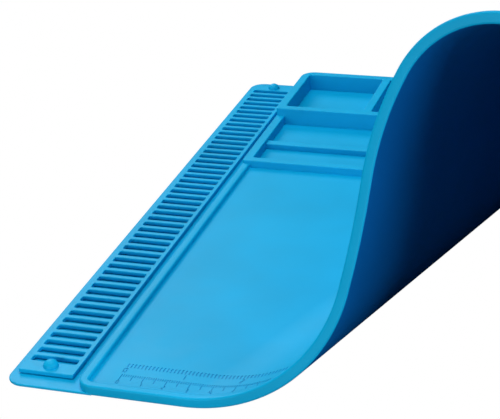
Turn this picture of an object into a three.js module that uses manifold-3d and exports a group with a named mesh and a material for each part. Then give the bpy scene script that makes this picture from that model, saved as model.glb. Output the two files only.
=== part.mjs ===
// Silicone soldering mat, 550 x 350 mm, standing on a table with its right part
// pushed up into a hump.
//
// The mat is drawn flat, cut into panels along lines that all meet in one apex
// behind it, and each panel is then bent about those lines. The bent mat is a
// cone-like sheet, so no panel stretches, and every cut is a straight hinge line.
// Millimetres, +Z up, table at z = 0. X runs along the ruler, Y away from it.
import * as THREE from 'three';
import { mergeVertices } from 'three/addons/utils/BufferGeometryUtils.js';
import Module from 'manifold-3d';

const wasm = await Module();
wasm.setup();

// ---- driving dimensions ----------------------------------------------------
const MAT = { length: 550, depth: 350, corner: 7.5 };
const ORIGIN = { x: 60, y: 175 };            // mat point that becomes 0, 0
const GAP = 0.3;                             // clearance between neighbouring solids

const FLANGE = { top: 1.2, width: 36 };      // thin edge that carries the slot strip
const TRAY = { left: 31.8, top: 4.6, rim: 4.2, floor: 2.4, corner: 7.5, inner: 2.5 };
const BLOCK = { right: 134.6, wall: 4.8, corner: 1.5, floor: 1.4 };
const MID = { front: 226, top: 6.4, ribTop: 4.6, ribFront: 253.6, ribBack: 258.6 };
const TALL = { front: 290, top: 10.8, corner: 7.5, divider: 4.8 };

const STRIP = { left: 3.4, right: 28, end: 8, top: 3.4, slots: 49, pitch: 6.54 };
const SLOT = { left: 5.4, right: 26, width: 4.2, corner: 0.9 };
const STUD = { x: 16, front: 13, back: 12, head: 3.3, rise: 2.6, stem: 2, foot: 0.3, facets: 28 };
const PEG_ENDS = [STUD.front, MAT.depth - STUD.back];

// The bend: hinge lines leave the apex and cross the front edge. Angles in degrees.
const APEX_BACK = 650;                       // apex, measured back from the front edge
const FOLD_START = 77;                       // first hinge line on the front edge
const FOLD_SKEW = 19.8;                      // that line, turned from Y towards X
const STEP = 3.74;                           // fan angle of one zone of even bend
const CREST = 3.48;                          // fan angle of the level top
const RISE = [[42, 2], [39.3, 2], [6.9, 1], [-20.7, 1]];  // zone bend, panels in it
const TOP_PANELS = 2;                        // panels in the zone that meets the crest
const MESH_STEP = 12;                        // longest edge on a bent panel

const SILICONE = { color: 0x1ea2dd, roughness: 0.42, metalness: 0 };

// ---- helpers ---------------------------------------------------------------
const rad = THREE.MathUtils.degToRad;

function toManifold(geometry) {
  const bare = geometry.index ? geometry.toNonIndexed() : geometry.clone();
  bare.deleteAttribute('normal');
  bare.deleteAttribute('uv');
  const merged = mergeVertices(bare, 1e-4);
  return new wasm.Manifold(new wasm.Mesh({
    numProp: 3,
    vertProperties: new Float32Array(merged.attributes.position.array),
    triVerts: new Uint32Array(merged.index.array),
  }));
}

function toGeometry(solid) {
  const mesh = solid.getMesh();
  const geometry = new THREE.BufferGeometry();
  geometry.setAttribute('position', new THREE.BufferAttribute(new Float32Array(mesh.vertProperties), 3));
  geometry.setIndex(new THREE.BufferAttribute(new Uint32Array(mesh.triVerts), 1));
  return geometry;
}

function prism(shape, low, high, facets = 6) {
  const options = { depth: high - low, bevelEnabled: false, curveSegments: facets };
  const geometry = new THREE.ExtrudeGeometry(shape, options);
  geometry.translate(0, 0, low);
  return toManifold(geometry);
}

// A rectangle with a radius at each corner: front left, front right, back right, back left.
function roundedRect(x0, y0, x1, y1, radii) {
  const [a, b, c, d] = Array.isArray(radii) ? radii : [radii, radii, radii, radii];
  const shape = new THREE.Shape();
  shape.moveTo(x0 + a, y0);
  shape.lineTo(x1 - b, y0);
  if (b > 0) shape.absarc(x1 - b, y0 + b, b, -Math.PI / 2, 0, false);
  shape.lineTo(x1, y1 - c);
  if (c > 0) shape.absarc(x1 - c, y1 - c, c, 0, Math.PI / 2, false);
  shape.lineTo(x0 + d, y1);
  if (d > 0) shape.absarc(x0 + d, y1 - d, d, Math.PI / 2, Math.PI, false);
  shape.lineTo(x0, y0 + a);
  if (a > 0) shape.absarc(x0 + a, y0 + a, a, Math.PI, 1.5 * Math.PI, false);
  return shape;
}

const box = (x0, y0, x1, y1, low, high, radii = 0, facets = 6) =>
  prism(roundedRect(x0, y0, x1, y1, radii), low, high, facets);

// ---- the bend --------------------------------------------------------------
// A point of the flat mat is named by its distance from the apex and its fan angle
// from the first hinge line. The frame at a fan angle has x along the hinge line,
// y across the panel and z out of the sheet. An even bend is a turn about one fixed
// axis of that frame, so each panel needs a single rotation.
const SKEW = rad(FOLD_SKEW);
const APEX = new THREE.Vector2(FOLD_START + APEX_BACK * Math.tan(SKEW), APEX_BACK);
const NEUTRAL = FLANGE.top;                  // height in the sheet that keeps its length

const turn = (fan, bend) => {
  const axis = new THREE.Vector3(bend / fan, 0, 1);
  return new THREE.Quaternion().setFromAxisAngle(axis.clone().normalize(), axis.length() * fan);
};
const across = (q) => new THREE.Vector3(0, 1, 0).applyQuaternion(q);

const flatFrame = new THREE.Quaternion().setFromAxisAngle(
  new THREE.Vector3(0, 0, 1), -Math.PI / 2 - SKEW);

// The bend of the last zone before the crest that makes the crest's middle level. The
// far half mirrors the near half about that line, so the mat lands flat again.
function levellingBend(frame, fan) {
  const halfCrest = turn(rad(CREST) / 2, 0);
  let low = -Math.PI / 2;
  let high = 0;
  for (let i = 0; i < 50; i += 1) {
    const middle = (low + high) / 2;
    const slope = across(frame.clone().multiply(turn(fan, middle)).multiply(halfCrest)).z;
    if (slope > 0) high = middle;
    else low = middle;
  }
  return low;
}

function buildPanels() {
  const fan = rad(STEP);
  const zones = RISE.map(([bend, parts]) => ({ fan, bend: rad(bend), parts }));
  const risen = flatFrame.clone();
  for (const zone of zones) risen.multiply(turn(zone.fan, zone.bend));
  zones.push({ fan, bend: levellingBend(risen, fan), parts: TOP_PANELS });
  const top = { fan: rad(CREST), bend: 0, parts: 1 };
  const panels = [];
  const frame = flatFrame.clone();
  let start = 0;
  for (const zone of [...zones, top, ...zones.slice().reverse()]) {
    for (let i = 0; i < zone.parts; i += 1) {
      const part = { start, fan: zone.fan / zone.parts, bend: zone.bend / zone.parts };
      panels.push({ ...part, frame: frame.clone() });
      frame.multiply(turn(part.fan, part.bend));
      start += part.fan;
    }
  }
  panels.push({ start, fan: Infinity, bend: 0, frame: frame.clone() });
  return panels;
}
const PANELS = buildPanels();

const fanAngle = (x, y) => Math.atan2(x - APEX.x, APEX.y - y) + SKEW;

function bendPoint(x, y, z, panel) {
  const reach = Math.hypot(x - APEX.x, y - APEX.y);
  const along = fanAngle(x, y) - panel.start;
  const rate = Number.isFinite(panel.fan) ? panel.bend / panel.fan : 0;
  const q = panel.frame.clone().multiply(turn(along || 1e-12, rate * (along || 1e-12)));
  return new THREE.Vector3(reach, 0, z - NEUTRAL).applyQuaternion(q)
    .add(new THREE.Vector3(APEX.x, APEX.y, NEUTRAL));
}

// The wedge of the flat mat between two fan angles, set in by half a gap each side.
function wedge(from, to) {
  const near = 200;
  const far = 1400;
  const edge = (angle, side, distance) => {
    const a = angle - SKEW;
    const x = APEX.x + Math.sin(a) * distance + Math.cos(a) * side * GAP / 2;
    const y = APEX.y - Math.cos(a) * distance + Math.sin(a) * side * GAP / 2;
    return new THREE.Vector2(x, y);
  };
  const shape = new THREE.Shape([
    edge(from, 1, near), edge(from, 1, far), edge(to, -1, far), edge(to, -1, near),
  ]);
  return prism(shape, -5, 40);
}

// ---- flat solids -----------------------------------------------------------
function tray() {
  const right = MAT.length;
  const back = MAT.depth;
  const outer = box(TRAY.left, 0, right, back, 0, TRAY.top, TRAY.corner);
  const recess = box(TRAY.left + TRAY.rim, TRAY.rim, right - TRAY.rim, back - TRAY.rim,
    TRAY.floor, TRAY.top + 1, TRAY.inner);
  return outer.subtract(recess);
}

function compartment(x0, y0, x1, y1, top) {
  return box(x0, y0, x1, y1, BLOCK.floor, top + 1, BLOCK.corner, 4);
}

// A round peg hole at one end of the strip, through everything between two heights.
function pegHole(y, low, high) {
  const circle = new THREE.Shape();
  circle.absarc(STUD.x, y, STUD.stem + GAP, 0, 2 * Math.PI, false);
  return prism(circle, low, high, STUD.facets / 2);
}

// A peg with a domed head: its stem goes through the strip into the flange.
function stud(y) {
  const seat = STRIP.top + GAP;
  const profile = [
    new THREE.Vector2(0, STUD.foot),
    new THREE.Vector2(STUD.stem, STUD.foot),
    new THREE.Vector2(STUD.stem, seat),
  ];
  for (let i = 0; i <= 6; i += 1) {
    const a = (i / 6) * Math.PI / 2;
    const radius = i === 6 ? 0 : STUD.head * Math.cos(a);
    profile.push(new THREE.Vector2(radius, seat + STUD.rise * Math.sin(a)));
  }
  const geometry = new THREE.LatheGeometry([...profile, profile[0].clone()], STUD.facets);
  geometry.rotateX(Math.PI / 2);
  geometry.translate(STUD.x, y, 0);
  return toManifold(geometry);
}

function workArea() {
  const left = TRAY.left;
  const inner = left + BLOCK.wall;
  const right = BLOCK.right;
  const innerRight = right - BLOCK.wall;
  const backInner = MAT.depth - BLOCK.wall;
  const tallFront = TALL.front + BLOCK.wall;
  const cell = (innerRight - inner - TALL.divider) / 2;

  let solid = box(0, 0, FLANGE.width, MAT.depth, 0, FLANGE.top, [MAT.corner, 0, 0, MAT.corner]);
  solid = solid.add(tray());
  solid = solid.add(box(left, MID.front, right, TALL.front + 2, 0.2, MID.top, BLOCK.corner));
  solid = solid.add(box(left, TALL.front, right, MAT.depth, 0.2, TALL.top,
    [BLOCK.corner, BLOCK.corner, TALL.corner, TALL.corner]));
  solid = solid.subtract(compartment(inner, MID.front + BLOCK.wall, innerRight, TALL.front, MID.top));
  solid = solid.add(box(inner - 1, MID.ribFront, innerRight + 1, MID.ribBack, 0.2, MID.ribTop));
  solid = solid.subtract(compartment(inner, tallFront, inner + cell, backInner, TALL.top));
  solid = solid.subtract(compartment(innerRight - cell, tallFront, innerRight, backInner, TALL.top));
  for (const y of PEG_ENDS) solid = solid.subtract(pegHole(y, -1, FLANGE.top + 1));
  return solid;
}

function slotStrip() {
  const low = FLANGE.top + GAP;
  const front = STRIP.end;
  const back = MAT.depth - STRIP.end;
  const shape = roundedRect(STRIP.left, front, STRIP.right, back, 0.6);
  const first = (MAT.depth - (STRIP.slots - 1) * STRIP.pitch) / 2;
  for (let i = 0; i < STRIP.slots; i += 1) {
    const y = first + i * STRIP.pitch;
    const half = SLOT.width / 2;
    const hole = roundedRect(SLOT.left, y - half, SLOT.right, y + half, SLOT.corner);
    shape.holes.push(new THREE.Path(hole.getPoints(3)));
  }
  let strip = prism(shape, low, STRIP.top, 3);
  for (const y of PEG_ENDS) strip = strip.subtract(pegHole(y, low - 1, STRIP.top + 1));
  return strip;
}

// ---- assembly --------------------------------------------------------------
const assembly = new THREE.Group();
assembly.name = 'silicone_work_mat';
assembly.position.set(-ORIGIN.x, -ORIGIN.y, 0);

function addPart(name, solid, bend = null) {
  const geometry = toGeometry(solid);
  if (bend) {
    const points = geometry.attributes.position;
    for (let i = 0; i < points.count; i += 1) {
      const p = bendPoint(points.getX(i), points.getY(i), points.getZ(i), bend);
      points.setXYZ(i, p.x, p.y, p.z);
    }
  }
  geometry.computeVertexNormals();
  const mesh = new THREE.Mesh(geometry, new THREE.MeshStandardMaterial(SILICONE));
  mesh.name = name;
  assembly.add(mesh);
}

addPart('work_area', workArea().intersect(wedge(rad(-75), 0)));
addPart('slot_strip', slotStrip());
addPart('stud_front', stud(PEG_ENDS[0]));
addPart('stud_back', stud(PEG_ENDS[1]));

const flatMat = tray();
PANELS.forEach((panel, i) => {
  const last = i === PANELS.length - 1;
  const end = last ? panel.start + rad(75) : panel.start + panel.fan;
  const piece = flatMat.intersect(wedge(panel.start, end));
  const name = last ? 'far_panel' : `flex_panel_${String(i + 1).padStart(2, '0')}`;
  addPart(name, last ? piece : piece.refineToLength(MESH_STEP), panel);
});

export default assembly;
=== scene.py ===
"""Looks of the silicone soldering mat: moulded skin, engraved ruler, light and camera.

The whole mat is drawn flat, cut along lines that meet in one apex behind it, and bent
about them, as the CAD part is. Each skin piece runs from the middle of one CAD panel to
the middle of the next.
"""
import math

import bmesh
import bpy
import numpy as np
from mathutils import Matrix, Vector


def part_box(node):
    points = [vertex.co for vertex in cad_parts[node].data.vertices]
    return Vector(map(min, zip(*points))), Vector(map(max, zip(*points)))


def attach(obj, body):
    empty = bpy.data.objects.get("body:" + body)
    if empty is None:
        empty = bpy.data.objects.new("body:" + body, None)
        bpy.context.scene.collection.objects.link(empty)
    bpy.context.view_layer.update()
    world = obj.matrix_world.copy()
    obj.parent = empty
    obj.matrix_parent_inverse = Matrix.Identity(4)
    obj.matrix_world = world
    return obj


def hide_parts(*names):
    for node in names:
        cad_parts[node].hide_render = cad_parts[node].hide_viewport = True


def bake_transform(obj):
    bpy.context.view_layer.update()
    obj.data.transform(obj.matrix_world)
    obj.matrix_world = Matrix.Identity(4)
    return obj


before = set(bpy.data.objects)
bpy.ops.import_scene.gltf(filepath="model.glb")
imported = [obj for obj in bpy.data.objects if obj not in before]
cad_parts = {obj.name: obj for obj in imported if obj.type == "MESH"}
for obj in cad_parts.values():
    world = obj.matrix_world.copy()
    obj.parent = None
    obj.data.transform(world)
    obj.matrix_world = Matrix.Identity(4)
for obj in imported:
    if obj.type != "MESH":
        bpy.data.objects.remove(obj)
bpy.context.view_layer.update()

# ---- sizes, in millimetres of the flat mat ----------------------------------
MM = 0.001
MAT_LENGTH, MAT_DEPTH, MAT_CORNER = 550.0, 350.0, 7.5
ORIGIN = (60.0, 175.0)                  # mat point at the frame's origin
FLANGE_TOP, FLANGE_WIDTH = 1.2, 39.2
TRAY_LEFT, TRAY_TOP, TRAY_RIM, TRAY_FLOOR = 31.8, 4.6, 4.2, 2.4
TRAY_CORNER, TRAY_INNER = 7.5, 2.5
BLOCK_RIGHT, WALL, BLOCK_CORNER, BLOCK_FLOOR = 134.6, 4.8, 1.5, 1.4
MID_FRONT, MID_TOP = 226.0, 6.4
RIB_TOP, RIB_FRONT, RIB_BACK = 4.6, 253.6, 258.6
TALL_FRONT, TALL_TOP, TALL_CORNER = 290.0, 10.8, 7.5
STRIP_SLOTS, STRIP_PITCH = 49, 6.54
SLOT_LEFT, SLOT_RIGHT, SLOT_WIDTH, SLOT_CORNER = 5.4, 26.0, 4.2, 0.9
EDGE = 0.6                              # rounding of moulded edges
TRAY_EDGE = 1.0                         # the tray's rim is rounder
THIN_EDGE, STRIP_EDGE = 0.4, 0.35       # rounding of the thin left edge and of the strip
STRIP_CORNER = 0.6
WALL_FOOT = 0.6                         # walls start at this height, inside the floor
LAP = 2.0                               # a wall runs this far into its neighbour
POCKET_LAP = 1.5                        # the pocket reaches this far under the walls
OVER = 1.0                              # a cutter reaches this far past the face it opens
FLANGE_LIFT = 0.02                      # keeps two undersides out of one plane
PEG_ROOT = 0.4                          # depth of a peg's foot inside the strip
SNAP = 1e-5                             # points closer than this to a cut lie on it
SHORTEST = 1e-4                         # edges shorter than this are taken out
NEAR = 1e-3                             # slack where two heights are compared
ALONG = 0.9                             # least vertical share of an upright normal

# ---- the bend, as in the CAD ------------------------------------------------
APEX_BACK, FOLD_START = 650.0, 77.0
SKEW = math.radians(19.8)
STEP, CREST = math.radians(3.74), math.radians(3.48)
RISE = ((42.0, 2), (39.3, 2), (6.9, 1), (-20.7, 1))
TOP_PANELS = 2
FACET = math.radians(2.4)               # bend between two neighbouring cuts
HALVINGS = 50                           # steps of the search for the last zone's bend
APEX = np.array([FOLD_START + APEX_BACK * math.tan(SKEW), APEX_BACK])
NEUTRAL = FLANGE_TOP                    # height that keeps its length as the sheet bends
APEX_PLACE = np.array([APEX[0] - ORIGIN[0], APEX[1] - ORIGIN[1], NEUTRAL])


def turn(fan, bend):
    """Rotation of the sheet's frame over a fan angle that bends it evenly."""
    axis = np.array([bend / fan, 0.0, 1.0])
    angle = np.linalg.norm(axis) * fan
    return np.array(Matrix.Rotation(angle, 3, Vector(axis)))


def build_panels():
    """Start angle, fan angle, bend and start frame of every panel."""
    first = np.array(Matrix.Rotation(-math.pi / 2 - SKEW, 3, "Z"))
    zones = [(STEP, math.radians(bend), parts) for bend, parts in RISE]
    risen = first
    for fan, bend, _ in zones:
        risen = risen @ turn(fan, bend)
    low, high = -math.pi / 2, 0.0
    for _ in range(HALVINGS):
        middle = (low + high) / 2
        level = risen @ turn(STEP, middle) @ turn(CREST / 2, 0.0)
        low, high = (low, middle) if level[2, 1] > 0 else (middle, high)
    zones.append((STEP, low, TOP_PANELS))
    panels, start, now = [], 0.0, first
    for fan, bend, parts in zones + [(CREST, 0.0, 1)] + zones[::-1]:
        for _ in range(parts):
            panels.append((start, fan / parts, bend / parts, now))
            now = now @ turn(fan / parts, bend / parts)
            start += fan / parts
    panels.append((start, math.pi, 0.0, now))
    return panels


PANELS = build_panels()
STARTS = np.array([panel[0] for panel in PANELS])


def fan_angle(x, y):
    return np.arctan2(x - APEX[0], APEX[1] - y) + SKEW


def frames_at(fan):
    """The sheet's frame (along the hinge line, across it, out of the sheet)."""
    out = np.empty((len(fan), 3, 3))
    index = np.searchsorted(STARTS, fan, side="right") - 1
    for i in np.unique(index):
        rows = np.nonzero(index == i)[0]
        start, width, bend, first = PANELS[max(i, 0)]
        rate = bend / width if i >= 0 else 0.0
        axis = Vector((rate, 0.0, 1.0))
        for row in rows:
            spin = Matrix.Rotation(axis.length * (fan[row] - start), 3, axis)
            out[row] = first @ np.array(spin)
    return out


def bend_points(points):
    """Flat mat points (mm) to their bent place in the row frame (m)."""
    reach = np.hypot(points[:, 0] - APEX[0], points[:, 1] - APEX[1])
    frames = frames_at(fan_angle(points[:, 0], points[:, 1]))
    out = frames[:, :, 0] * reach[:, None]
    out += frames[:, :, 2] * (points[:, 2] - NEUTRAL)[:, None]
    out += APEX_PLACE
    return out * MM


def bend_normals(points, normals):
    """Normals of the flat mat, turned as the sheet is at their points."""
    fan = fan_angle(points[:, 0], points[:, 1])
    heading = fan - math.pi / 2 - SKEW
    along = np.stack([np.cos(heading), np.sin(heading)], axis=1)
    across = np.stack([-np.sin(heading), np.cos(heading)], axis=1)
    local = np.stack([
        (normals[:, :2] * along).sum(axis=1),
        (normals[:, :2] * across).sum(axis=1),
        normals[:, 2],
    ], axis=1)
    return np.einsum("nij,nj->ni", frames_at(fan), local)


# ---- flat outlines ----------------------------------------------------------
def rounded_rect(x0, y0, x1, y1, radii, steps=8):
    """Anticlockwise outline; radii go front left, front right, back right, back left."""
    if not isinstance(radii, (tuple, list)):
        radii = (radii,) * 4
    corners = ((x0, y0, 1, 1, 180), (x1, y0, -1, 1, 270),
               (x1, y1, -1, -1, 0), (x0, y1, 1, -1, 90))
    points = []
    for (x, y, sx, sy, start), r in zip(corners, radii):
        if r <= 0:
            points.append((x, y))
            continue
        for i in range(steps + 1):
            a = math.radians(start + 90 * i / steps)
            points.append((x + sx * r + r * math.cos(a), y + sy * r + r * math.sin(a)))
    return points


def prism(outline, low, high):
    """A closed straight-sided solid over one outline."""
    bm = bmesh.new()
    bottom = [bm.verts.new((x, y, low)) for x, y in outline]
    top = [bm.verts.new((x, y, high)) for x, y in outline]
    n = len(outline)
    bm.faces.new(bottom[::-1])
    bm.faces.new(top)
    for i in range(n):
        bm.faces.new((bottom[i], bottom[(i + 1) % n], top[(i + 1) % n], top[i]))
    return bm


def to_object(bm, name):
    """A mesh object from a bmesh, which is freed."""
    mesh = bpy.data.meshes.new(name)
    bm.to_mesh(mesh)
    bm.free()
    obj = bpy.data.objects.new(name, mesh)
    bpy.context.scene.collection.objects.link(obj)
    return obj


def evaluated(obj):
    """A bmesh of the object with its modifiers, and the object removed."""
    depsgraph = bpy.context.evaluated_depsgraph_get()
    bm = bmesh.new()
    bm.from_object(obj, depsgraph)
    mesh = obj.data
    bpy.data.objects.remove(obj)
    bpy.data.meshes.remove(mesh)
    return bm


def merge(parts):
    """One bmesh that holds all the parts, which are freed."""
    out = bmesh.new()
    for part in parts:
        mesh = bpy.data.meshes.new("part")
        part.to_mesh(mesh)
        part.free()
        out.from_mesh(mesh)
        bpy.data.meshes.remove(mesh)
    return out


def carve(body, cutters):
    """The body with the cutters taken away; all are bmeshes, and the cutters lie apart."""
    target = to_object(body, "carve_body")
    tool = to_object(merge(cutters), "carve_tool")
    cut = target.modifiers.new("cut", "BOOLEAN")
    cut.operation, cut.solver, cut.object = "DIFFERENCE", "EXACT", tool
    result = evaluated(target)
    mesh = tool.data
    bpy.data.objects.remove(tool)
    bpy.data.meshes.remove(mesh)
    return result


def simplified(bm, limit=0.5):
    """The same shape without edges between faces that lie in one plane; limit in degrees."""
    bmesh.ops.dissolve_limit(bm, angle_limit=math.radians(limit), verts=bm.verts,
                             edges=bm.edges)
    return bm


def rounded(bm, radius, segments=3, limit=50):
    """The same shape with every edge sharper than limit, in degrees, rounded."""
    obj = to_object(bm, "rounding")
    bevel = obj.modifiers.new("edge", "BEVEL")
    bevel.width, bevel.segments = radius, segments
    bevel.limit_method, bevel.angle_limit = "ANGLE", math.radians(limit)
    bevel.use_clamp_overlap = False
    return evaluated(obj)


# ---- the moulding, flat -----------------------------------------------------
INNER_LEFT = TRAY_LEFT + WALL
INNER_RIGHT = BLOCK_RIGHT - WALL
CELL = (INNER_RIGHT - INNER_LEFT - WALL) / 2
TALL_INNER = TALL_FRONT + WALL
BACK_INNER = MAT_DEPTH - WALL
PROUD = 0.06                            # a wall stands this much proud where it meets another


def split(bm, point, normal, faces):
    """Cut some faces along a plane."""
    geom = {element for face in faces for element in (*face.verts, *face.edges, face)}
    bmesh.ops.bisect_plane(bm, geom=list(geom), dist=SNAP, plane_co=point, plane_no=normal)


def on_band(face):
    """True for the faces of the ruler's band that look up: tray floor and line bottoms."""
    low = max(vert.co.z for vert in face.verts) < TRAY_FLOOR + NEAR
    return low and face.normal.z > ALONG and face.calc_center_median().y < RULER_BACK


def tray():
    outer = prism(rounded_rect(TRAY_LEFT, 0, MAT_LENGTH, MAT_DEPTH, TRAY_CORNER), 0, TRAY_TOP)
    recess = prism(rounded_rect(TRAY_LEFT + TRAY_RIM, TRAY_RIM, MAT_LENGTH - TRAY_RIM,
                                MAT_DEPTH - TRAY_RIM, TRAY_INNER), TRAY_FLOOR, TRAY_TOP + OVER)
    body = rounded(simplified(carve(outer, [recess])), TRAY_EDGE)
    pocket = prism(rounded_rect(INNER_LEFT - POCKET_LAP, MID_FRONT + POCKET_LAP,
                                INNER_RIGHT + POCKET_LAP, BACK_INNER + POCKET_LAP, 0),
                   BLOCK_FLOOR, TRAY_TOP + OVER)
    body = simplified(carve(body, [pocket]))
    split(body, (0, RULER_BACK, 0), (0, 1, 0), body.faces[:])
    for i in range(RULER_CM + 2):
        split(body, (RULER_SPLIT + i * CM, 0, 0), (1, 0, 0),
              [face for face in body.faces if on_band(face)])
    body = carve(body, engraving())
    # The faces of the cut lines take the darker ruler blue: painted shade in the grooves.
    for face in body.faces:
        lowest = min(vert.co.z for vert in face.verts)
        if (BLOCK_FLOOR < lowest < TRAY_FLOOR - ENGRAVED / 2
                and face.calc_center_median().y < RULER_BACK):
            face.material_index = RULER_PAINTED_SHADE_SLOT
    bmesh.ops.triangulate(body, faces=[face for face in body.faces if on_band(face)])
    return body


def flange():
    outline = rounded_rect(0, 0, FLANGE_WIDTH, MAT_DEPTH, (MAT_CORNER, 0, 0, MAT_CORNER))
    return rounded(prism(outline, FLANGE_LIFT, FLANGE_TOP), THIN_EDGE)


def mid_block():
    outer = prism(rounded_rect(TRAY_LEFT - PROUD, MID_FRONT, BLOCK_RIGHT, TALL_FRONT + LAP,
                               BLOCK_CORNER), WALL_FOOT, MID_TOP)
    hole = prism(rounded_rect(INNER_LEFT, MID_FRONT + WALL, INNER_RIGHT, TALL_FRONT + LAP + OVER,
                              (BLOCK_CORNER, BLOCK_CORNER, 0, 0)), 0, MID_TOP + OVER)
    return rounded(simplified(carve(outer, [hole])), EDGE)


def rib():
    outline = rounded_rect(INNER_LEFT - LAP, RIB_FRONT, INNER_RIGHT + LAP, RIB_BACK, 0)
    return rounded(prism(outline, WALL_FOOT, RIB_TOP), EDGE)


def tall_block():
    outer = prism(rounded_rect(TRAY_LEFT - PROUD, TALL_FRONT, BLOCK_RIGHT + PROUD,
                               MAT_DEPTH + PROUD,
                               (BLOCK_CORNER, BLOCK_CORNER, TALL_CORNER, TALL_CORNER)),
                  WALL_FOOT, TALL_TOP)
    holes = [prism(rounded_rect(x, TALL_INNER, x + CELL, BACK_INNER, BLOCK_CORNER),
                   0, TALL_TOP + OVER)
             for x in (INNER_LEFT, INNER_RIGHT - CELL)]
    return rounded(simplified(carve(outer, holes)), EDGE)


# ---- the engraved ruler -----------------------------------------------------
RULER_ZERO, RULER_CM = 47.0, 20
CM, INCH, INCH_PARTS = 10, 25.4, 16
CM_LINE, INCH_LINE = 15.0, 23.4
RULER_BACK = 25.5                       # the ruler ends in front of this
RULER_SPLIT = RULER_ZERO - 1.5          # first of the cuts that keep the floor's faces small
ENGRAVED = 0.2                          # depth of a line
LINE_OVER = 0.4                         # a line's cutter stands this far above the floor
CM_TICKS = {10: (4.8, 0.45), 5: (4.3, 0.45), 1: (1.8, 0.36)}    # length, width
INCH_TICKS = {1: (3.0, 0.66)}
CM_DIGITS = (CM_LINE - 6.1, 2.3)        # middle of the row, height
INCH_DIGITS = (INCH_LINE - 5.2, 3.2)
DIGIT_WIDTH, DIGIT_PITCH, BAR_WIDTH = 0.55, 0.85, 0.15          # shares of the height
BAR_GAP = 0.05                          # uncut land between two bars
# Which of seven bars each digit has: a top, b c right, d bottom, e f left, g middle.
BARS = ("abcdef", "bc", "abged", "abgcd", "fgbc", "afgcd", "afgedc", "abc", "abcdefg", "abcdfg")


def groove(x0, y0, x1, y1):
    """A solid that cuts one straight line of the ruler."""
    return prism(rounded_rect(x0, y0, x1, y1, 0), TRAY_FLOOR - ENGRAVED, TRAY_FLOOR + LINE_OVER)


def numeral(text, x, y, height):
    """Solids that cut a number of straight bars, centred at x, y."""
    width, line, pitch = DIGIT_WIDTH * height, BAR_WIDTH * height, DIGIT_PITCH * height
    cutters = []
    for i, digit in enumerate(text):
        left = x + (i - (len(text) - 1) / 2) * pitch - width / 2
        right, low, high = left + width, y - height / 2, y + height / 2
        inner_left, inner_right = left + line + BAR_GAP, right - line - BAR_GAP
        bars = {"a": (inner_left, high - line, inner_right, high),
                "b": (right - line, y + BAR_GAP, right, high),
                "c": (right - line, low, right, y - BAR_GAP),
                "d": (inner_left, low, inner_right, low + line),
                "e": (left, low, left + line, y - BAR_GAP),
                "f": (left, y + BAR_GAP, left + line, high),
                "g": (inner_left, y - line / 2, inner_right, y + line / 2)}
        cutters += [groove(*bars[bar]) for bar in BARS[int(digit)]]
    return cutters


def scale_row(count, pitch, line, ticks, major, digit_y, height):
    """Cutters of one scale: ticks that hang from a line, and numbers at the major ones."""
    cutters = []
    for i in range(count + 1):
        x = RULER_ZERO + i * pitch
        length, width = next(size for step, size in ticks.items() if i % step == 0)
        cutters.append(groove(x - width / 2, line - length, x + width / 2, line))
        if i % major == 0:
            cutters += numeral(str(i // major), x, digit_y, height)
    return cutters


def engraving():
    parts = int(RULER_CM * CM / INCH) * INCH_PARTS
    return (scale_row(RULER_CM * CM, 1.0, CM_LINE, CM_TICKS, CM, *CM_DIGITS)
            + scale_row(parts, INCH / INCH_PARTS, INCH_LINE, INCH_TICKS, INCH_PARTS, *INCH_DIGITS))


# ---- cutting and bending ----------------------------------------------------
def cut_fan(bm, angles):
    """Cut the flat mesh along lines through the apex."""
    for angle in angles:
        heading = angle - math.pi / 2 - SKEW
        side = Vector((-math.sin(heading), math.cos(heading), 0))
        geom = bm.verts[:] + bm.edges[:] + bm.faces[:]
        bmesh.ops.bisect_plane(bm, geom=geom, dist=SNAP, plane_co=Vector((*APEX, 0)),
                               plane_no=side)


def cut_angles():
    """Fan angles of the cuts: panel borders, and evenly between them where a panel bends."""
    angles = []
    for start, width, bend, _ in PANELS[:-1]:
        parts = max(2, 2 * math.ceil(abs(bend) / FACET / 2))
        angles += [start + width * i / parts for i in range(parts)]
    return angles + [PANELS[-1][0]]


def corner_normals(bm, limit=48):
    """Area-weighted corner normals, kept apart across edges sharper than limit, in degrees."""
    limit_cos = math.cos(math.radians(limit))
    area = {face: face.calc_area() for face in bm.faces}
    out = {}
    for face in bm.faces:
        normals = []
        for vert in face.verts:
            total = Vector()
            for other in vert.link_faces:
                if other.normal.dot(face.normal) > limit_cos:
                    total += other.normal * area[other]
            normals.append(total.normalized() if total.length > 0 else face.normal.copy())
        out[face] = normals
    return out


def bent_piece(name, faces, normals, materials):
    """A mesh object from flat faces, bent, with its flat place kept as a UV map."""
    index, points, polygons = {}, [], []
    corner_points, corner_normal, slots = [], [], []
    for face in faces:
        polygon = []
        for vert, normal in zip(face.verts, normals[face]):
            if vert not in index:
                index[vert] = len(points)
                points.append(tuple(vert.co))
            polygon.append(index[vert])
            corner_points.append(tuple(vert.co))
            corner_normal.append(tuple(normal))
        polygons.append(polygon)
        slots.append(face.material_index)
    mesh = bpy.data.meshes.new(name)
    mesh.from_pydata(bend_points(np.array(points)).tolist(), [], polygons)
    mesh.polygons.foreach_set("material_index", slots)
    uv = mesh.uv_layers.new(name="flat")
    uv.data.foreach_set("uv", (np.array(corner_points)[:, :2] * MM).ravel())
    for material in materials:
        mesh.materials.append(material)
    mesh.polygons.foreach_set("use_smooth", [True] * len(polygons))
    bent = bend_normals(np.array(corner_points), np.array(corner_normal))
    mesh.normals_split_custom_set(bent.tolist())
    mesh.update()
    obj = bpy.data.objects.new(name, mesh)
    bpy.context.scene.collection.objects.link(obj)
    return obj


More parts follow.
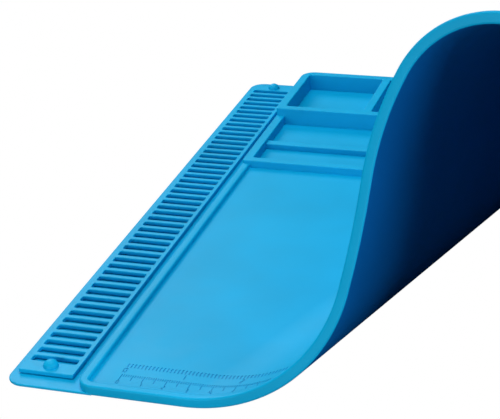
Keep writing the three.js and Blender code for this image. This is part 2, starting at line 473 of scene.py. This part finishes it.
# ---- materials --------------------------------------------------------------
BLUE = (0.0006, 0.385, 0.70)
STRIP_BLUE = (0.0008, 0.39, 0.71)
# painted shade: the engraved ruler lines take a darker blue than the floor around them
RULER_PAINTED_SHADE_BLUE = (0.001, 0.310, 0.630)
# painted shade: the underside takes a deeper blue than the top, for the dark under the curl
BOTTOM_PAINTED_SHADE_BLUE = (0.001, 0.13, 0.47)
CLOUD_SCALE, GLOSS_SCALE, GRAIN_SCALE = 22.0, 90.0, 1600.0
CLOUD_STOPS = (0.3, 0.7)
ROUGHNESS = (0.40, 0.54)
SPECULAR = 0.1
GRAIN_STRENGTH, GRAIN_DEPTH = 0.12, 0.0002
SPREAD, GROOVE_SPREAD = 0.06, 0.1       # how far the cloudiness moves the colour
# slot 1 holds the painted shade of the ruler lines, slot 2 the painted shade of the underside
RULER_PAINTED_SHADE_SLOT, BOTTOM_PAINTED_SHADE_SLOT = 1, 2          # the plain skin is slot 0


def new_material(name):
    material = bpy.data.materials.new(name)
    material.use_nodes = True
    tree = material.node_tree
    return material, tree, tree.nodes["Principled BSDF"]


def noise(tree, scale, detail=3.0, roughness=0.5):
    """Noise over the object's own place, in metres."""
    node = tree.nodes.new("ShaderNodeTexNoise")
    node.inputs["Scale"].default_value = scale
    node.inputs["Detail"].default_value = detail
    node.inputs["Roughness"].default_value = roughness
    coordinates = tree.nodes.new("ShaderNodeTexCoord")
    tree.links.new(coordinates.outputs["Object"], node.inputs["Vector"])
    return node


def ramp(tree, source, stops):
    node = tree.nodes.new("ShaderNodeValToRGB")
    for element, (place, colour) in zip(node.color_ramp.elements, stops):
        element.position, element.color = place, (*colour, 1.0)
    tree.links.new(source, node.inputs["Fac"])
    return node


def map_range(tree, source, low, high):
    node = tree.nodes.new("ShaderNodeMapRange")
    node.inputs["To Min"].default_value, node.inputs["To Max"].default_value = low, high
    tree.links.new(source, node.inputs["Value"])
    return node


def silicone(name, colour, spread=SPREAD):
    """Matte moulded silicone: faint cloudiness, fine grain and soft gloss changes."""
    material, tree, shader = new_material(name)
    cloud = noise(tree, CLOUD_SCALE)
    darker = tuple(c * (1 - spread) for c in colour)
    lighter = tuple(min(1.0, c * (1 + spread)) for c in colour)
    tint = ramp(tree, cloud.outputs["Fac"], zip(CLOUD_STOPS, (darker, lighter)))
    tree.links.new(tint.outputs["Color"], shader.inputs["Base Color"])
    gloss = map_range(tree, noise(tree, GLOSS_SCALE).outputs["Fac"], *ROUGHNESS)
    tree.links.new(gloss.outputs["Result"], shader.inputs["Roughness"])
    shader.inputs["Specular IOR Level"].default_value = SPECULAR
    bump = tree.nodes.new("ShaderNodeBump")
    bump.inputs["Strength"].default_value = GRAIN_STRENGTH
    bump.inputs["Distance"].default_value = GRAIN_DEPTH
    tree.links.new(noise(tree, GRAIN_SCALE, 2.0).outputs["Fac"], bump.inputs["Height"])
    tree.links.new(bump.outputs["Normal"], shader.inputs["Normal"])
    return material


SKIN = silicone("silicone_blue", BLUE)
STRIP = silicone("silicone_strip", STRIP_BLUE)
# painted shade in the engraved ruler lines
RULER_PAINTED_SHADE = silicone("silicone_ruler_painted_shade", RULER_PAINTED_SHADE_BLUE, GROOVE_SPREAD)
# painted shade on the faces that look down
BOTTOM_PAINTED_SHADE = silicone("silicone_bottom_painted_shade", BOTTOM_PAINTED_SHADE_BLUE)

# ---- build the mat ----------------------------------------------------------
flat = merge([tray(), flange(), mid_block(), rib(), tall_block()])
cut_fan(flat, cut_angles())
bmesh.ops.dissolve_degenerate(flat, dist=SHORTEST, edges=flat.edges)
flat.normal_update()
flat_normals = corner_normals(flat)
# Faces that look down take the deeper underside blue: painted shade.
for face in flat.faces:
    if face.normal.z < -ALONG:
        face.material_index = BOTTOM_PAINTED_SHADE_SLOT

# Seams run through the middle of every bent panel. Piece i lies between seams i and i + 1
# and bends over the hinge between bodies i and i + 1.
seams = [-math.pi] + [start + width / 2 for start, width, _, _ in PANELS[:-1]] + [math.pi]
flex = [f"flex_panel_{i + 1:02d}" for i in range(len(PANELS) - 1)]
bodies = ["work_area"] + flex + ["far_panel"]


def face_angle(face):
    """Fan angle of a face's centre."""
    centre = face.calc_center_median()
    return float(fan_angle(np.array([centre.x]), np.array([centre.y]))[0])


groups = [[] for _ in range(len(seams) - 1)]
for face in flat.faces:
    groups[np.searchsorted(seams, face_angle(face)) - 1].append(face)

for i, faces in enumerate(groups):
    piece = bent_piece(f"mat_skin_{i:02d}", faces, flat_normals, [SKIN, RULER_PAINTED_SHADE, BOTTOM_PAINTED_SHADE])
    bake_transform(piece)
    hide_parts(*([bodies[i]] if i < len(groups) - 1 else [bodies[i], bodies[i + 1]]))
flat.free()

# ---- the slot strip and its pegs ---------------------------------------------
def in_row(bm):
    """Flat mat millimetres to the row frame in metres."""
    bmesh.ops.translate(bm, verts=bm.verts, vec=(-ORIGIN[0], -ORIGIN[1], 0))
    bmesh.ops.scale(bm, verts=bm.verts, vec=(MM, MM, MM))
    return bm


def shaded_object(bm, name, material):
    """A mesh object with its corner normals and one material."""
    bm.normal_update()
    normals = corner_normals(bm)
    corners = [tuple(n) for face in bm.faces for n in normals[face]]
    obj = to_object(bm, name)
    obj.data.materials.append(material)
    obj.data.polygons.foreach_set("use_smooth", [True] * len(obj.data.polygons))
    obj.data.normals_split_custom_set(corners)
    return obj


strip_low, strip_high = (Vector(corner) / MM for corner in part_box("slot_strip"))
for corner in (strip_low, strip_high):
    corner.x += ORIGIN[0]
    corner.y += ORIGIN[1]
blank = prism(rounded_rect(strip_low.x, strip_low.y, strip_high.x, strip_high.y,
                           STRIP_CORNER, 3), strip_low.z, strip_high.z)
first_slot = (MAT_DEPTH - (STRIP_SLOTS - 1) * STRIP_PITCH) / 2
slots = [prism(rounded_rect(SLOT_LEFT, y - SLOT_WIDTH / 2, SLOT_RIGHT, y + SLOT_WIDTH / 2,
                            SLOT_CORNER, 4), 0, strip_high.z + OVER)
         for y in (first_slot + i * STRIP_PITCH for i in range(STRIP_SLOTS))]
strip = shaded_object(in_row(rounded(simplified(carve(blank, slots)), STRIP_EDGE)),
                      "slot_strip_skin", STRIP)
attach(strip, "slot_strip")
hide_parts("slot_strip")


def dome(low, high, seat, rings=10, steps=40):
    """A peg's head over its box, in metres, standing on the height of its seat."""
    bm = bmesh.new()
    radius = (high.x - low.x) / 2
    rows = []
    for i in range(rings):
        a = math.pi / 2 * i / rings
        r, z = radius * math.cos(a), seat + (high.z - seat) * math.sin(a)
        rows.append([bm.verts.new((low.x + radius + r * math.cos(2 * math.pi * k / steps),
                                   low.y + radius + r * math.sin(2 * math.pi * k / steps), z))
                     for k in range(steps)])
    foot = [bm.verts.new((v.co.x, v.co.y, seat - PEG_ROOT * MM)) for v in rows[0]]
    tip = bm.verts.new((low.x + radius, low.y + radius, high.z))
    for lower, upper in zip([foot] + rows[:-1], rows):
        for k in range(steps):
            bm.faces.new((lower[k], lower[(k + 1) % steps], upper[(k + 1) % steps], upper[k]))
    for k in range(steps):
        bm.faces.new((rows[-1][k], rows[-1][(k + 1) % steps], tip))
    bm.faces.new(foot[::-1])
    return bm


for node in ("stud_front", "stud_back"):
    peg = shaded_object(dome(*(Vector(corner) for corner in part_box(node)), strip_high.z * MM),
                        f"{node}_dome", STRIP)
    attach(peg, "slot_strip")
    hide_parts(node)

# ---- floor, light, camera ---------------------------------------------------
CARD_REACH, CARD_BACK, CARD_HEIGHT, CARD_TONE = 3.0, -0.17, -0.0005, 0.3
CARD_ROUGHNESS = 0.9
FLOOR_REACH, FLOOR_HEIGHT = 6.0, -0.0006


def sheet_of(name, x0, y0, x1, y1, z):
    """A flat matte rectangle and its shader."""
    mesh = bpy.data.meshes.new(name)
    mesh.from_pydata([(x0, y0, z), (x1, y0, z), (x1, y1, z), (x0, y1, z)], [], [(0, 1, 2, 3)])
    obj = bpy.data.objects.new(name, mesh)
    bpy.context.scene.collection.objects.link(obj)
    material, _, shader = new_material(name)
    shader.inputs["Base Color"].default_value = (CARD_TONE, CARD_TONE, CARD_TONE, 1)
    shader.inputs["Roughness"].default_value = CARD_ROUGHNESS
    mesh.materials.append(material)
    return obj, shader


# The card sends light up onto the front edge. The floor is plain white to the eye only.
card, _ = sheet_of("front_card", -CARD_REACH, -CARD_REACH, CARD_REACH, CARD_BACK, CARD_HEIGHT)
card.visible_camera = False
floor, shader = sheet_of("floor_white", -FLOOR_REACH, -FLOOR_REACH, FLOOR_REACH, FLOOR_REACH,
                         FLOOR_HEIGHT)
shader.inputs["Base Color"].default_value = (0, 0, 0, 1)
shader.inputs["Specular IOR Level"].default_value = 0
shader.inputs["Emission Color"].default_value = (1, 1, 1, 1)
shader.inputs["Emission Strength"].default_value = 1.0
floor.visible_diffuse = floor.visible_glossy = floor.visible_shadow = False

world = bpy.data.worlds.new("studio")
world.use_nodes = True
backdrop = world.node_tree.nodes["Background"]
backdrop.inputs["Color"].default_value = (1, 1, 1, 1)
ray = world.node_tree.nodes.new("ShaderNodeLightPath")
world.node_tree.links.new(ray.outputs["Is Camera Ray"], backdrop.inputs["Strength"])
bpy.context.scene.world = world


def area_light(name, place, target, size, power):
    """A square soft light that faces its target."""
    data = bpy.data.lights.new(name, "AREA")
    data.shape, data.size, data.energy = "SQUARE", size, power
    obj = bpy.data.objects.new(name, data)
    bpy.context.scene.collection.objects.link(obj)
    obj.location = place
    obj.rotation_euler = (Vector(target) - Vector(place)).to_track_quat("-Z", "Y").to_euler()
    return obj


CENTRE = (0.1, 0.0, 0.0)
lights = [area_light(name, place, CENTRE, size, power) for name, place, size, power in (
    ("top", (0.1, 0.0, 2.2), 1.6, 37),
    ("left", (-2.1, 0.0, 1.3), 1.0, 5),
    ("back_left", (-1.3, 1.7, 1.5), 1.0, 30),
    ("front", (-0.4, -2.4, 0.35), 1.2, 31),
    ("right", (2.2, -0.7, 0.5), 1.0, 24),
)]

CAMERA_TURN, CAMERA_LIFT = math.radians(18.62), math.radians(25.27)
CAMERA_ROLL = math.radians(-3.04)
CAMERA_TARGET = Vector((49.87 - ORIGIN[0], 181.02 - ORIGIN[1], 0)) * MM
CAMERA_DISTANCE = 0.774
FOCAL_RATIO = 3.0828                    # focal length over the frame's width
camera_data = bpy.data.cameras.new("camera")
camera_data.sensor_width = 36.0
camera_data.lens = FOCAL_RATIO * camera_data.sensor_width
camera_data.clip_start, camera_data.clip_end = 0.05, 30.0
camera = bpy.data.objects.new("camera", camera_data)
bpy.context.scene.collection.objects.link(camera)
back = Vector((math.sin(CAMERA_TURN) * math.cos(CAMERA_LIFT),
               -math.cos(CAMERA_TURN) * math.cos(CAMERA_LIFT), math.sin(CAMERA_LIFT)))
level = Vector((math.cos(CAMERA_TURN), math.sin(CAMERA_TURN), 0))
upright = back.cross(level)
right = level * math.cos(CAMERA_ROLL) + upright * math.sin(CAMERA_ROLL)
up = back.cross(right)
camera.matrix_world = Matrix.Translation(CAMERA_TARGET + back * CAMERA_DISTANCE) @ Matrix(
    (right, up, back)).transposed().to_4x4()
bpy.context.scene.camera = camera
bpy.context.scene.view_settings.view_transform = "Standard"
